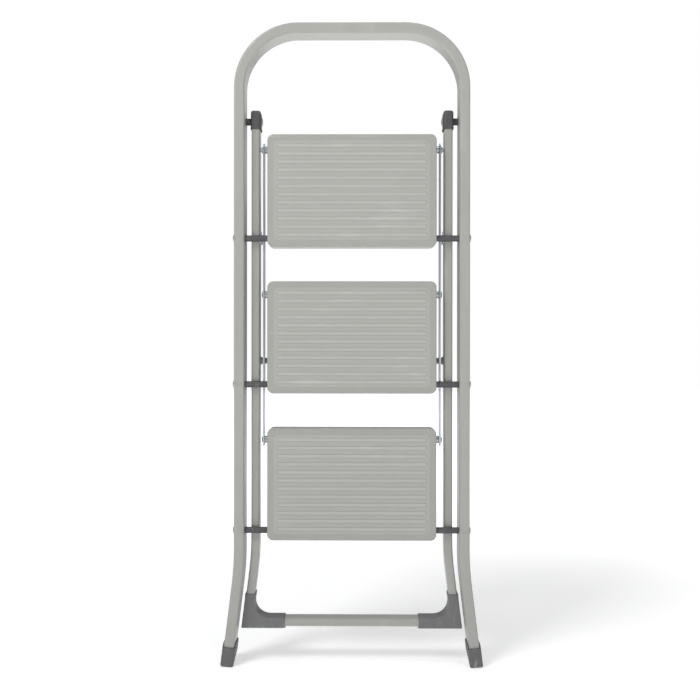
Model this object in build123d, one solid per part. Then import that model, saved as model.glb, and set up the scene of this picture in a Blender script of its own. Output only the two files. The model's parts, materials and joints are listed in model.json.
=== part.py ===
from build123d import *
import os
from math import acos, atan, atan2, cos, degrees, hypot, radians, sin, sqrt, tan

# Folding household step ladder with three treads, in millimetres.
# It stands folded and upright: +X to the user's right, +Y to the rear, +Z up, origin on the floor
# under the middle of the folded ladder. The user climbs from the -Y side.

# Front frame: one bent tube, an upside-down U whose legs splay sideways near the floor.
OVERALL_HEIGHT = 1068.0
FRONT_TUBE_WIDTH = 17.5
FRONT_TUBE_DEPTH = 40.0
FRONT_TUBE_WALL = 1.2
FRONT_TUBE_CORNER = 3.5
FRONT_LEG_OUTSIDE_REAR = 25.5
TOP_BEND_RADIUS = 98.0
FRONT_KNEE_Z = 165.0
SPLAY_ANGLE = 7.0
SPLAY_RADIUS = 500.0

# Plastic feet on the front legs.
FOOT_WALL = 2.2
FOOT_CORNER = 4.0
FOOT_HEIGHT = 36.5
FOOT_RIM_DROP = 5.5
FOOT_SOLE = 5.0

# Rear frame: a U of smaller tube, closed at the bottom and hung from the front frame.
REAR_TUBE_WIDTH = 14.0
REAR_TUBE_DEPTH = 25.0
REAR_TUBE_WALL = 1.2
REAR_TUBE_CORNER = 3.0
REAR_LEG_OUTSIDE_TREAD = 21.5
REAR_KNEE_Z = 183.0
REAR_BAR_Z = 68.5
REAR_BEND_RADIUS = 34.0
REAR_TUBE_BEHIND_SLEEVES = 1.3
CROSSBAR_RADIUS = 5.0
CROSSBAR_DROP = 403.0
CROSSBAR_SETBACK = 5.0

# Plastic shoes on the rear frame's bottom corners, and caps on its top ends.
SHOE_WALL = 1.75
SHOE_SOLE = 2.0
SHOE_HEIGHT = 57.0
SHOE_LENGTH = 73.0
SHOE_EDGE_RADIUS = 1.5
CAP_WALL = 1.75
CAP_ABOVE_PIN = 16.5
CAP_BELOW_PIN = 14.5
CAP_TOP_THICKNESS = 4.5

# Main hinge between the two frames.
HINGE_Z = 910.0
HINGE_PIN_RADIUS = 4.0
HINGE_SPACER_RADIUS = 5.8
HINGE_HEAD_RADIUS = 7.0
HINGE_HEAD_HEIGHT = 2.2

# Treads: pressed steel pans, pivoted near their front edge and folded up between the legs.
STEP_NAMES = ("bottom", "middle", "top")
BOTTOM_STEP_Z = 225.0
STEP_PITCH = 243.0
STEP_AXLE_Y = -9.5
STEP_WIDTH = 280.0
STEP_BEHIND_AXLE = 171.0
STEP_BEFORE_AXLE = 15.0
STEP_SURFACE_OFFSET = 13.0
STEP_FLANGE_DEPTH = 30.0
STEP_SHEET = 1.0
STEP_CORNER = 10.0
STEP_EDGE_RADIUS = 2.5
PANEL_MARGIN = 10.0
PANEL_HEIGHT = 0.6
RIB_COUNT = 12
RIB_PITCH = 13.4
RIB_WIDTH = 7.0
RIB_HEIGHT = 0.65
RIB_INSET = 6.0
STEP_AXLE_RADIUS = 4.0
AXLE_HEAD_RADIUS = 6.5
AXLE_HEAD_HEIGHT = 2.5
SLEEVE_RADIUS = 5.2

# Flat link bars that keep the treads parallel, and their pins.
LINK_PIN_REACH = 150.0
LINK_PIN_SETBACK = 12.0
LINK_WIDTH = 12.0
LINK_THICKNESS = 3.0
LINK_GAP = 6.0
LINK_END_EXTRA = 4.5
LINK_PIN_RADIUS = 3.5
LINK_HEAD_RADIUS = 5.5
LINK_HEAD_HEIGHT = 2.0
LINK_WASHER_RADIUS = 6.0
TOP_PIN_END_GAP = 0.8

# Catches on the rear legs, which carry the top tread's pins when the ladder is open.
CATCH_THICKNESS = 2.9
CATCH_SIZE = 21.0
CATCH_FRONT_SETBACK = 0.5
CATCH_CORNER = 3.0
CATCH_CLEARANCE = 0.4
CATCH_MOUTH_EXTRA = 3.0

# Stance of the open ladder, and clearances.
FRONT_LEAN = 24.0
RUNNING_CLEARANCE = 0.05
SIDE_CLEARANCE = 0.2
CAP_CLEARANCE = 0.1

FAR = 400.0
SIDES = {"left": -1, "right": 1}


def turned(angle, y, z):
    """A point of the YZ plane, turned about +X by an angle in degrees."""
    turn = radians(angle)
    return y * cos(turn) - z * sin(turn), y * sin(turn) + z * cos(turn)


def step_axle_z(index):
    return BOTTOM_STEP_Z + STEP_PITCH * index


# Worked-out places and angles. The legs stand off from the treads, so they follow the tread width.
rear_leg_x = STEP_WIDTH / 2 + REAR_LEG_OUTSIDE_TREAD
front_leg_x = rear_leg_x + FRONT_LEG_OUTSIDE_REAR
rear_tube_y = STEP_AXLE_Y + SLEEVE_RADIUS + REAR_TUBE_BEHIND_SLEEVES + REAR_TUBE_DEPTH / 2
foot_width = FRONT_TUBE_WIDTH + 2 * FOOT_WALL
foot_depth = FRONT_TUBE_DEPTH + 2 * FOOT_WALL
shoe_depth = REAR_TUBE_DEPTH + 2 * SHOE_WALL
shoe_front_y = rear_tube_y - shoe_depth / 2
shoe_front_z = REAR_BAR_Z - REAR_TUBE_WIDTH / 2 - SHOE_SOLE
front_inner_x = front_leg_x - FRONT_TUBE_WIDTH / 2
front_outer_x = front_leg_x + FRONT_TUBE_WIDTH / 2
rear_inner_x = rear_leg_x - REAR_TUBE_WIDTH / 2
cap_inner_x = rear_inner_x - CAP_WALL
cap_outer_x = rear_leg_x + REAR_TUBE_WIDTH / 2 + CAP_WALL
flange_outer_x = STEP_WIDTH / 2
link_inner_x = flange_outer_x + LINK_GAP
link_outer_x = link_inner_x + LINK_THICKNESS
link_pin_y = STEP_AXLE_Y + LINK_PIN_SETBACK

# The feet's soles lie flat on the floor when the front frame leans back by FRONT_LEAN.
# Splayed legs put the inner front corner of each sole lowest: it touches the floor when folded.
sole_slope = tan(radians(FRONT_LEAN)) * cos(radians(SPLAY_ANGLE))
splay_slope = sin(radians(SPLAY_ANGLE))
foot_lift = (foot_width / 2 - FOOT_CORNER) * splay_slope
foot_lift += FOOT_CORNER * (hypot(splay_slope, sole_slope) - sole_slope)
foot_x = front_leg_x + (FRONT_KNEE_Z - foot_lift) * tan(radians(SPLAY_ANGLE))

# Hinge height above the floor when open, from the front feet; the rear legs then fill that height.
hinge_above_sole = HINGE_Z - foot_lift - foot_depth / 2 * tan(radians(FRONT_LEAN))
open_height = hinge_above_sole * cos(radians(FRONT_LEAN)) - rear_tube_y * sin(radians(FRONT_LEAN))
rear_drop = HINGE_Z - shoe_front_z
rear_lean = degrees(acos(open_height / hypot(rear_drop, shoe_depth / 2)) + atan(shoe_depth / 2 / rear_drop))
rear_travel = FRONT_LEAN + rear_lean
step_travel = 90.0 - FRONT_LEAN
fold_ratio = step_travel / rear_travel


def top_pin_on_rear_frame(rear_angle):
    """The top tread's link pin, as (y, z) on the rear frame at rest, when that has turned by rear_angle."""
    pin_y, pin_z = turned(-rear_angle * fold_ratio, LINK_PIN_SETBACK, LINK_PIN_REACH)
    from_hinge_y = STEP_AXLE_Y - rear_tube_y + pin_y
    from_hinge_z = step_axle_z(len(STEP_NAMES) - 1) - HINGE_Z + pin_z
    back_y, back_z = turned(-rear_angle, from_hinge_y, from_hinge_z)
    return rear_tube_y + back_y, HINGE_Z + back_z


def rod(start_x, end_x, y, z, radius):
    """A round bar along X."""
    middle = (start_x + end_x) / 2
    return Pos(middle, y, z) * Rot(0, 90, 0) * Cylinder(radius, abs(end_x - start_x))


def on_both_sides(inner_x, outer_x, y, z, radius):
    """The same round bar on the left and on the right."""
    return [rod(side * inner_x, side * outer_x, y, z, radius) for side in SIDES.values()]


def ring(inner_x, outer_x, y, z, radius, bore):
    return rod(inner_x, outer_x, y, z, radius) - rod(inner_x, outer_x, y, z, bore)


def tube_face(plane, width, depth, corner):
    return plane * RectangleRounded(width, depth, corner)


def swept_bar(path, width, depth, corner):
    """A bar of rounded rectangular section along a path in the XZ plane; depth is along Y."""
    start = path @ 0
    along = path % 0
    section = Plane(origin=start, x_dir=along.cross(Vector(0, 1, 0)), z_dir=along)
    return sweep(tube_face(section, width, depth, corner), path=path)


def bent_tube(path, width, depth, corner, wall):
    outer = swept_bar(path, width, depth, corner)
    inner = swept_bar(path, width - 2 * wall, depth - 2 * wall, corner - wall)
    return outer - inner


def front_path():
    top_z = OVERALL_HEIGHT - FRONT_TUBE_WIDTH / 2
    points = [
        (-foot_x, 0, foot_lift),
        (-front_leg_x, 0, FRONT_KNEE_Z),
        (-front_leg_x, 0, top_z),
        (front_leg_x, 0, top_z),
        (front_leg_x, 0, FRONT_KNEE_Z),
        (foot_x, 0, foot_lift),
    ]
    return FilletPolyline(*points, radius=[SPLAY_RADIUS, TOP_BEND_RADIUS, TOP_BEND_RADIUS, SPLAY_RADIUS])


def rear_leg_centre_x(z):
    return rear_leg_x + (REAR_KNEE_Z - z) * tan(radians(SPLAY_ANGLE))


def rear_path():
    top_z = HINGE_Z + CAP_ABOVE_PIN - CAP_TOP_THICKNESS
    corner_x = rear_leg_centre_x(REAR_BAR_Z)
    points = [
        (-rear_leg_x, rear_tube_y, top_z),
        (-rear_leg_x, rear_tube_y, REAR_KNEE_Z),
        (-corner_x, rear_tube_y, REAR_BAR_Z),
        (corner_x, rear_tube_y, REAR_BAR_Z),
        (rear_leg_x, rear_tube_y, REAR_KNEE_Z),
        (rear_leg_x, rear_tube_y, top_z),
    ]
    return FilletPolyline(*points, radius=[SPLAY_RADIUS, REAR_BEND_RADIUS, REAR_BEND_RADIUS, SPLAY_RADIUS])


def foot_frame(side):
    """Local frame of a front leg's end: Z up the leg, X across it, Y to the rear."""
    lean_x = side * sin(radians(SPLAY_ANGLE))
    up = cos(radians(SPLAY_ANGLE))
    return Plane(origin=(side * foot_x, 0, foot_lift), x_dir=(up, 0, lean_x), z_dir=(-lean_x, 0, up))


def under_sole(side, thickness):
    """Everything below a plane that stays this far above the sole, in a front leg's frame."""
    slope = radians(FRONT_LEAN)
    sole = Plane(origin=(0, -foot_depth / 2, 0), x_dir=(1, 0, 0), z_dir=(0, -sin(slope), cos(slope)))
    return foot_frame(side) * sole * Pos(0, 0, thickness - FAR / 4) * Box(FAR / 4, FAR / 2, FAR / 2)


def front_frame_tube():
    tube = bent_tube(front_path(), FRONT_TUBE_WIDTH, FRONT_TUBE_DEPTH, FRONT_TUBE_CORNER, FRONT_TUBE_WALL)
    for side in SIDES.values():
        tube -= under_sole(side, FOOT_SOLE)
    for index in range(len(STEP_NAMES)):
        hole = STEP_AXLE_RADIUS + RUNNING_CLEARANCE
        tube -= rod(-FAR, FAR, STEP_AXLE_Y, step_axle_z(index), hole)
    tube -= rod(-FAR, FAR, rear_tube_y, HINGE_Z, HINGE_PIN_RADIUS + RUNNING_CLEARANCE)
    return tube


def front_foot(side):
    block = extrude(RectangleRounded(foot_width, foot_depth, FOOT_CORNER), FOOT_HEIGHT)
    pocket_width = FRONT_TUBE_WIDTH + 2 * CAP_CLEARANCE
    pocket_depth = FRONT_TUBE_DEPTH + 2 * CAP_CLEARANCE
    pocket = extrude(RectangleRounded(pocket_width, pocket_depth, FRONT_TUBE_CORNER), FOOT_HEIGHT)
    rim_cut = Pos(0, 0, FOOT_HEIGHT - FOOT_RIM_DROP / 2) * Box(pocket_width, FAR / 4, FOOT_RIM_DROP)
    place = foot_frame(side)
    foot = place * block - under_sole(side, 0)
    foot -= place * pocket - under_sole(side, FOOT_SOLE)
    return foot - place * rim_cut


def rear_frame_tube():
    tube = bent_tube(rear_path(), REAR_TUBE_WIDTH, REAR_TUBE_DEPTH, REAR_TUBE_CORNER, REAR_TUBE_WALL)
    return tube - rod(-FAR, FAR, rear_tube_y, HINGE_Z, HINGE_PIN_RADIUS + RUNNING_CLEARANCE)


def rear_crossbar():
    crossbar_y = rear_tube_y + CROSSBAR_SETBACK
    crossbar_z = HINGE_Z - CROSSBAR_DROP
    return rod(-rear_inner_x, rear_inner_x, crossbar_y, crossbar_z, CROSSBAR_RADIUS)


def rear_cap(side):
    width = REAR_TUBE_WIDTH + 2 * CAP_WALL
    depth = REAR_TUBE_DEPTH + 2 * CAP_WALL
    height = CAP_ABOVE_PIN + CAP_BELOW_PIN
    block = extrude(RectangleRounded(width, depth, REAR_TUBE_CORNER + CAP_WALL), height)
    block = fillet(block.faces().sort_by(Axis.Z)[-1].edges(), CAP_TOP_THICKNESS * 0.8)
    pocket_width = REAR_TUBE_WIDTH + 2 * CAP_CLEARANCE
    pocket_depth = REAR_TUBE_DEPTH + 2 * CAP_CLEARANCE
    pocket_height = height - CAP_TOP_THICKNESS
    block -= extrude(RectangleRounded(pocket_width, pocket_depth, REAR_TUBE_CORNER), pocket_height)
    cap = Pos(side * rear_leg_x, rear_tube_y, HINGE_Z - CAP_BELOW_PIN) * block
    return cap - rod(-FAR, FAR, rear_tube_y, HINGE_Z, HINGE_PIN_RADIUS + RUNNING_CLEARANCE)


def rear_shoe(side):
    """A corner shoe: square outside, round inside, with a sole that is flat on the floor when open."""
    across = (REAR_TUBE_WIDTH / 2 + SHOE_WALL) / cos(radians(SPLAY_ANGLE))
    low_z = shoe_front_z - shoe_depth
    high_z = shoe_front_z + SHOE_HEIGHT
    ledge_z = REAR_BAR_Z + REAR_TUBE_WIDTH / 2 + SHOE_WALL
    outer_low_x = rear_leg_centre_x(low_z) + across
    end_x = rear_leg_centre_x(shoe_front_z) + across - SHOE_LENGTH
    inner_corner = (rear_leg_centre_x(ledge_z) - across, ledge_z)
    points = [
        (outer_low_x, low_z),
        (rear_leg_centre_x(high_z) + across, high_z),
        (rear_leg_centre_x(high_z) - across, high_z),
        inner_corner,
        (end_x, ledge_z),
        (end_x, low_z),
    ]
    outline = make_face(Polyline(*points, close=True))
    corner = outline.vertices().sort_by_distance((inner_corner[0], inner_corner[1], 0))[0]
    outline = fillet(corner, REAR_BEND_RADIUS - REAR_TUBE_WIDTH / 2 - SHOE_WALL)
    block = extrude(Plane.XZ * outline, shoe_depth)
    block = fillet(block.faces().filter_by(Axis.Y).edges(), SHOE_EDGE_RADIUS)
    block = Pos(0, shoe_front_y + shoe_depth, 0) * block
    slope = radians(rear_lean)
    sole = Plane(origin=(0, shoe_front_y, shoe_front_z), x_dir=(1, 0, 0), z_dir=(0, sin(slope), cos(slope)))
    block -= sole * Pos(0, 0, -FAR / 4) * Box(2 * FAR, FAR / 2, FAR / 2)
    if side < 0:
        block = mirror(block, Plane.YZ)
    fit = 2 * CAP_CLEARANCE
    return block - swept_bar(rear_path(), REAR_TUBE_WIDTH + fit, REAR_TUBE_DEPTH + fit, REAR_TUBE_CORNER)


def step_catch(side):
    """A notched plate on the inside of a rear leg; its notch opens along the pin's way in."""
    seat_y, seat_z = top_pin_on_rear_frame(rear_travel)
    before_y, before_z = top_pin_on_rear_frame(rear_travel - 1)
    way_in = degrees(atan2(before_z - seat_z, before_y - seat_y))
    front_y = rear_tube_y - REAR_TUBE_DEPTH / 2 + CATCH_FRONT_SETBACK
    plate = Pos(front_y + CATCH_SIZE / 2, seat_z - LINK_PIN_RADIUS) * RectangleRounded(
        CATCH_SIZE, CATCH_SIZE, CATCH_CORNER
    )
    notch_radius = LINK_PIN_RADIUS + CATCH_CLEARANCE
    mouth = notch_radius + CATCH_MOUTH_EXTRA
    notch = Circle(notch_radius) + make_face(
        Polyline((0, -notch_radius), (CATCH_SIZE, -mouth), (CATCH_SIZE, mouth), (0, notch_radius), close=True)
    )
    plate -= Pos(seat_y, seat_z) * Rot(0, 0, way_in) * notch
    middle_x = side * (rear_inner_x - CATCH_THICKNESS / 2)
    return Plane(origin=(middle_x, 0, 0), x_dir=(0, 1, 0), z_dir=(1, 0, 0)) * extrude(
        plate, CATCH_THICKNESS / 2, both=True
    )


def step_axle(index):
    z = step_axle_z(index)
    axle = rod(-front_outer_x, front_outer_x, STEP_AXLE_Y, z, STEP_AXLE_RADIUS)
    for head in on_both_sides(front_outer_x, front_outer_x + AXLE_HEAD_HEIGHT, STEP_AXLE_Y, z, AXLE_HEAD_RADIUS):
        axle += head
    return axle


def axle_sleeve(index, side):
    start = side * (flange_outer_x + SIDE_CLEARANCE)
    bore = STEP_AXLE_RADIUS + RUNNING_CLEARANCE
    return ring(start, side * front_inner_x, STEP_AXLE_Y, step_axle_z(index), SLEEVE_RADIUS, bore)


def hinge_pin(side):
    """The main hinge's rivet: a head outside the front leg and a head inside the rear leg's cap."""
    inner_face = cap_inner_x - SIDE_CLEARANCE
    outer_end = front_outer_x + HINGE_HEAD_HEIGHT
    inner_end = inner_face - HINGE_HEAD_HEIGHT
    pin = rod(side * inner_end, side * outer_end, rear_tube_y, HINGE_Z, HINGE_PIN_RADIUS)
    pin += rod(side * inner_end, side * inner_face, rear_tube_y, HINGE_Z, HINGE_HEAD_RADIUS)
    pin += rod(side * front_outer_x, side * outer_end, rear_tube_y, HINGE_Z, HINGE_HEAD_RADIUS)
    return pin


def hinge_spacer(side):
    start = side * (cap_outer_x + SIDE_CLEARANCE)
    bore = HINGE_PIN_RADIUS + RUNNING_CLEARANCE
    return ring(start, side * front_inner_x, rear_tube_y, HINGE_Z, HINGE_SPACER_RADIUS, bore)


def step_pan(index):
    """A tread, folded up: its walking surface faces -Y, its flanges run back from it."""
    axle_z = step_axle_z(index)
    length = STEP_BEHIND_AXLE + STEP_BEFORE_AXLE
    surface_y = STEP_AXLE_Y - STEP_SURFACE_OFFSET
    # Pans are drawn with the surface up and the rear edge towards local +Y, then stood up.
    pan = extrude(RectangleRounded(STEP_WIDTH, length, STEP_CORNER), -STEP_FLANGE_DEPTH)
    pan = fillet(pan.faces().sort_by(Axis.Z)[-1].edges(), STEP_EDGE_RADIUS)
    inner_corner = STEP_CORNER - STEP_SHEET
    hollow = extrude(
        RectangleRounded(STEP_WIDTH - 2 * STEP_SHEET, length - 2 * STEP_SHEET, inner_corner), -STEP_FLANGE_DEPTH
    )
    hollow = fillet(hollow.faces().sort_by(Axis.Z)[-1].edges(), STEP_EDGE_RADIUS - STEP_SHEET)
    pan -= Pos(0, 0, -STEP_SHEET) * hollow
    panel_width = STEP_WIDTH - 2 * PANEL_MARGIN
    panel_length = length - 2 * PANEL_MARGIN
    panel_corner = inner_corner
    pan += extrude(RectangleRounded(panel_width, panel_length, panel_corner), PANEL_HEIGHT)
    dent = extrude(
        RectangleRounded(panel_width - 2 * STEP_SHEET, panel_length - 2 * STEP_SHEET, panel_corner - STEP_SHEET),
        PANEL_HEIGHT,
    )
    pan -= Pos(0, 0, -STEP_SHEET) * dent
    rib_length = panel_width - 2 * RIB_INSET
    rib = extrude(SlotOverall(rib_length, RIB_WIDTH), PANEL_HEIGHT + RIB_HEIGHT, taper=20)
    for number in range(RIB_COUNT):
        pan += Pos(0, (number - (RIB_COUNT - 1) / 2) * RIB_PITCH, 0) * rib
    middle_z = axle_z + (STEP_BEHIND_AXLE - STEP_BEFORE_AXLE) / 2
    pan = Plane(origin=(0, surface_y, middle_z), x_dir=(1, 0, 0), z_dir=(0, -1, 0)) * pan
    pan -= rod(-FAR, FAR, STEP_AXLE_Y, axle_z, STEP_AXLE_RADIUS + RUNNING_CLEARANCE)
    link_bore = LINK_PIN_RADIUS + RUNNING_CLEARANCE
    return pan - rod(-FAR, FAR, link_pin_y, axle_z + LINK_PIN_REACH, link_bore)


def link_pin(index, side):
    """A rivet through a tread's flange, a washer and the link bar."""
    z = step_axle_z(index) + LINK_PIN_REACH
    inner_face = flange_outer_x - STEP_SHEET
    inner_end = inner_face - LINK_HEAD_HEIGHT
    head_start = link_outer_x + SIDE_CLEARANCE
    outer_end = head_start + LINK_HEAD_HEIGHT
    top_end = rear_inner_x - TOP_PIN_END_GAP
    pin_end = top_end if index == len(STEP_NAMES) - 1 else outer_end
    pin = rod(side * inner_end, side * pin_end, link_pin_y, z, LINK_PIN_RADIUS)
    pin += rod(side * inner_end, side * inner_face, link_pin_y, z, LINK_HEAD_RADIUS)
    pin += rod(side * head_start, side * outer_end, link_pin_y, z, LINK_HEAD_RADIUS)
    return pin


def link_washer(index, side):
    z = step_axle_z(index) + LINK_PIN_REACH
    end = side * (link_inner_x - SIDE_CLEARANCE)
    bore = LINK_PIN_RADIUS + RUNNING_CLEARANCE
    return ring(side * flange_outer_x, end, link_pin_y, z, LINK_WASHER_RADIUS, bore)


def link_bar(side):
    low_z = step_axle_z(0) + LINK_PIN_REACH
    high_z = step_axle_z(len(STEP_NAMES) - 1) + LINK_PIN_REACH
    strip = SlotCenterToCenter(high_z - low_z + 2 * LINK_END_EXTRA, LINK_WIDTH, rotation=90)
    bar = extrude(strip, LINK_THICKNESS / 2, both=True)
    middle_x = side * (link_inner_x + LINK_THICKNESS / 2)
    centre = (middle_x, link_pin_y, (low_z + high_z) / 2)
    bar = Plane(origin=centre, x_dir=(0, 1, 0), z_dir=(1, 0, 0)) * bar
    for index in range(len(STEP_NAMES)):
        bore = LINK_PIN_RADIUS + RUNNING_CLEARANCE
        bar -= rod(-FAR, FAR, link_pin_y, step_axle_z(index) + LINK_PIN_REACH, bore)
    return bar


def model():
    """Every sub-part of the ladder, by name."""
    parts = {
        "front_frame_tube": front_frame_tube(),
        "rear_frame_tube": rear_frame_tube(),
        "rear_crossbar": rear_crossbar(),
    }
    for name, side in SIDES.items():
        parts[f"front_foot_{name}"] = front_foot(side)
        parts[f"hinge_pin_{name}"] = hinge_pin(side)
        parts[f"hinge_spacer_{name}"] = hinge_spacer(side)
        parts[f"rear_cap_{name}"] = rear_cap(side)
        parts[f"rear_shoe_{name}"] = rear_shoe(side)
        parts[f"step_catch_{name}"] = step_catch(side)
        parts[f"link_bar_{name}"] = link_bar(side)
    for index, name in enumerate(STEP_NAMES):
        parts[f"step_{name}"] = step_pan(index)
        parts[f"step_axle_{name}"] = step_axle(index)
        parts[f"axle_sleeves_{name}"] = Compound([axle_sleeve(index, side) for side in SIDES.values()])
        parts[f"link_pins_{name}"] = Compound([link_pin(index, side) for side in SIDES.values()])
        parts[f"link_washers_{name}"] = Compound([link_washer(index, side) for side in SIDES.values()])
    return parts


os.makedirs("parts", exist_ok=True)
for part_name, shape in model().items():
    export_step(shape, f"parts/{part_name}.step")
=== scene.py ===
"""Folding household step ladder with three treads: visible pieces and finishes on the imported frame."""

import json
import math

import bmesh
import bpy
from mathutils import Matrix, Vector


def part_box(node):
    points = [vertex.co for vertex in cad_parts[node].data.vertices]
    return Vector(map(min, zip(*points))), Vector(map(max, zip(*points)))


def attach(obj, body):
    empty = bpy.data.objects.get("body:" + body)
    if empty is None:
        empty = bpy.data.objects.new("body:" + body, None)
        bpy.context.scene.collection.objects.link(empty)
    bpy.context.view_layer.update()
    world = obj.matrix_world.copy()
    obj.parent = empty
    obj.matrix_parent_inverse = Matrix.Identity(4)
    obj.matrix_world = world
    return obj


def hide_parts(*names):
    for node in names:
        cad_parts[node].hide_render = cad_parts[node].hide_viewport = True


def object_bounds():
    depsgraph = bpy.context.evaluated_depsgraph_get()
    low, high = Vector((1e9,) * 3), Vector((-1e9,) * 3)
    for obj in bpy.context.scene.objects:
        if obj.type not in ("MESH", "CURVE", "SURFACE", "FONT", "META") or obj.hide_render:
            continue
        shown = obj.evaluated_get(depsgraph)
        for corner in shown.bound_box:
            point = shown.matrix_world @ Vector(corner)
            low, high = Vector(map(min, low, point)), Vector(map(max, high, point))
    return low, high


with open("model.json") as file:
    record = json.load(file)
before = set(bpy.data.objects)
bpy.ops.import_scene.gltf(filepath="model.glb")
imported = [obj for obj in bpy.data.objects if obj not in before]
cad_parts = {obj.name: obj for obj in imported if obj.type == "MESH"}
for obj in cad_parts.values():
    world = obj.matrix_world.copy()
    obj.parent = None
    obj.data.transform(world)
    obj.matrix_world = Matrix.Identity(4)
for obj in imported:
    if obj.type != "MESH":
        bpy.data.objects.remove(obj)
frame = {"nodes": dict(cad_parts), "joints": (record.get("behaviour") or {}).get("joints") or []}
cad_low, cad_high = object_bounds()

MM = 0.001
SIDES = {"left": -1, "right": 1}
STEP_NAMES = ("bottom", "middle", "top")
X_AXIS, Y_AXIS = Vector((1, 0, 0)), Vector((0, 1, 0))
BEVEL = {"affect": "EDGES", "profile": 0.5, "material": -1}
CORNER_BEVEL = {"affect": "VERTICES", "profile": 0.5, "material": -1}
SAME_PLACE = 0.001 * MM
SMOOTH_ANGLE = math.radians(38)

# Frame tubes, as bent: the legs' centre lines, sections and bends.
FRONT_LEG_X = 187 * MM
FRONT_TUBE_WIDTH = 17.5 * MM
FRONT_TUBE_DEPTH = 40 * MM
FRONT_TUBE_CORNER = 3.5 * MM
FRONT_KNEE_Z = 165 * MM
TOP_BEND_RADIUS = 98 * MM
REAR_LEG_X = 161.5 * MM
REAR_TUBE_WIDTH = 14 * MM
REAR_TUBE_DEPTH = 25 * MM
REAR_TUBE_CORNER = 3 * MM
REAR_KNEE_Z = 183 * MM
REAR_BEND_RADIUS = 34 * MM
SPLAY = math.radians(7)
SPLAY_RADIUS = 500 * MM
TUBE_END_IN_BOOT = 14 * MM
CORNER_SEGMENTS = 5

# Treads, as pressed: the flat border, the panel raised inside it and the ribs on the panel.
SHEET = 1.0 * MM
TREAD_CORNER = 10 * MM
EDGE_ROUND = 2.5 * MM
PANEL_MARGIN = 10 * MM
PANEL_CORNER = 9 * MM
PANEL_RISE = 0.6 * MM
PANEL_SLOPE = 1.2 * MM
RIB_COUNT = 12
RIB_PITCH = 13.4 * MM
RIB_WIDTH = 6.8 * MM
RIB_INSET = 6 * MM
RIB_RISE = 0.65 * MM
RIB_SLOPE = 1.5 * MM

# Where a tread's sheet is scored before it is pressed, in millimetres: across each rib from its centre, and inwards
# from the panel's edge, closest where the sheet turns most.
RIB_SCORES = (-3.4, -3.0, -2.65, -2.3, -1.9, 0, 1.9, 2.3, 2.65, 3.0, 3.4)
PANEL_SCORES = (0, 0.4, 0.8, 1.2)
RIB_END_SCORES = (6, 6.9, 7.6, 8.4, 9.8, 12, 40, 80)

# Rivets and pins: shanks, and how far their heads stand out.
AXLE_SHANK = 4 * MM
AXLE_HEAD = 2.5 * MM
HINGE_SHANK = 4 * MM
HINGE_HEAD = 2.2 * MM
LINK_SHANK = 3.5 * MM
LINK_HEAD = 2.0 * MM
PIN_PLAY = 0.2 * MM

joint_at = {joint["name"]: Vector(joint["pos_m"]) for joint in frame["joints"]}
joint_range = {joint["name"]: math.radians(joint["range_deg"][1]) for joint in frame["joints"]}
hinge = joint_at["rear_frame_hinge"]
axles = {name: joint_at[f"{name}_step_hinge"] for name in STEP_NAMES}
FRONT_LEAN = math.pi / 2 - joint_range["bottom_step_hinge"]
REAR_LEAN = joint_range["rear_frame_hinge"] - FRONT_LEAN


# ---------------------------------------------------------------- finishes

# Sockets of a Mix node that is set to colours.
MIX_SHARE, MIX_FIRST, MIX_SECOND = 0, 6, 7
MIX_COLOUR = 2


class Wire:
    """A socket's number in a finish. Arithmetic on it adds Math nodes."""

    def __init__(self, finish, socket):
        self.finish = finish
        self.socket = socket

    def joined(self, operation, first, second):
        """The wire that a Math node makes of two numbers or wires."""
        node = self.finish.node("ShaderNodeMath", {"operation": operation}, {0: first, 1: second})
        return Wire(self.finish, node.outputs[0])

    def __add__(self, other):
        return self.joined("ADD", self, other)

    __radd__ = __add__

    def __mul__(self, other):
        return self.joined("MULTIPLY", self, other)

    __rmul__ = __mul__

    def __sub__(self, other):
        return self.joined("SUBTRACT", self, other)

    def __rsub__(self, other):
        return self.joined("SUBTRACT", other, self)

    def __pow__(self, other):
        return self.joined("POWER", self, other)

    def spread(self, low, high):
        """0 at low, 1 at high, eased between them and held outside them."""
        node = self.finish.node(
            "ShaderNodeMapRange",
            {"interpolation_type": "SMOOTHSTEP"},
            {"Value": self, "From Min": low, "From Max": high},
        )
        return Wire(self.finish, node.outputs[0])


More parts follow.
